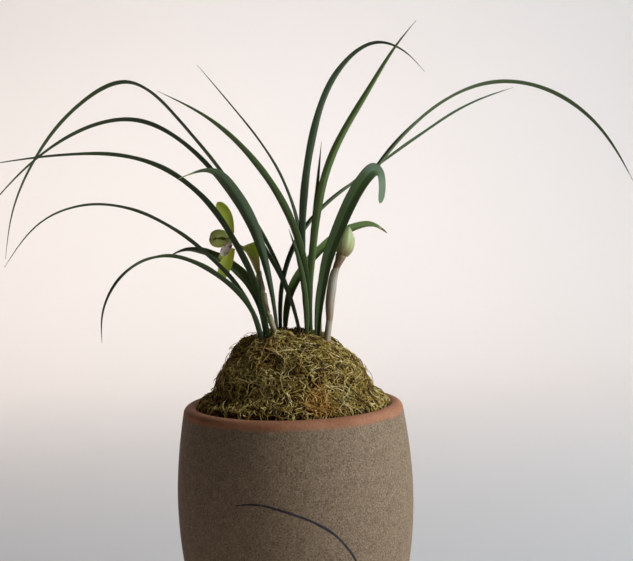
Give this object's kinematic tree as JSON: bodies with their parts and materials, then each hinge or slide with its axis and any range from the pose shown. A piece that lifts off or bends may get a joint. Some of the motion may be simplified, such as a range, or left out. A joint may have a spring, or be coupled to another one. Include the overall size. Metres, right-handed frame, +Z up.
{
  "type": "potted orchid",
  "caption": "Spring orchid with arching grassy leaves, one flower and one bud, rooted in a moss mound that fills a tall rounded stoneware pot.",
  "frame": {"origin": "centre of the flat underside of the pot, on the pot's axis", "axes": "+Z up along the axis of the pot, -Y towards the front, where the painted strokes of the pot are, +X to the right seen from the front"},
  "size_m": [0.4636, 0.2095, 0.4244],
  "materials": {
    "stoneware": "matte speckled brown-grey stoneware with a bare terracotta lip",
    "potting_mix": "loose dark grains, matte",
    "moss": "dry tangled moss strands, matte",
    "pseudobulb": "smooth green skin, satin",
    "leaf": "dark green, ribbed along its length, satin",
    "basal_sheath": "dry purple-brown, matte",
    "stalk": "pale green-brown, satin",
    "papery_sheath": "dry papery cream with brown streaks, matte",
    "sepal": "fleshy yellow-green, satin",
    "lip": "whitish with red-brown spots, satin",
    "bud": "pale green, satin"
  },
  "bodies": {
    "root": {"bract_bud": "papery_sheath", "bud": "bud", "bud_collar": "papery_sheath", "bud_stalk": "stalk", "bud_stalk_sheath_1": "papery_sheath", "bud_stalk_sheath_2": "papery_sheath", "column": "lip", "flower_stalk": "stalk", "flower_stalk_sheath_1": "papery_sheath", "flower_stalk_sheath_2": "papery_sheath", "flower_stalk_sheath_3": "papery_sheath", "leaf_back_right_long": "leaf", "leaf_back_right_short": "leaf", "leaf_left_broad": "leaf", "leaf_left_long_level": "leaf", "leaf_left_low_arch": "leaf", "leaf_left_mid_arch": "leaf", "leaf_left_young": "leaf", "leaf_main_broad_folded": "leaf", "leaf_main_centre_arch": "leaf", "leaf_main_inner": "leaf", "leaf_main_left_arch": "leaf", "leaf_main_left_fine": "leaf", "leaf_main_left_upper": "leaf", "leaf_main_right_arch": "leaf", "leaf_main_tall_arch": "leaf", "leaf_main_upright": "leaf", "leaf_main_young": "leaf", "leaf_middle_folded": "leaf", "lip": "lip", "moss_mound": "moss", "pedicel": "stalk", "petal_far": "sepal", "petal_near": "sepal", "pot": "stoneware", "potting_mix": "potting_mix", "pseudobulb_left": "pseudobulb", "pseudobulb_main": "pseudobulb", "pseudobulb_middle": "pseudobulb", "sepal_dorsal": "sepal", "sepal_far": "sepal", "sepal_near": "sepal", "sheath_bud_stalk": "papery_sheath", "sheath_main_left": "basal_sheath", "sheath_main_right": "basal_sheath", "spathe": "sepal"}
  },
  "joints": []
}
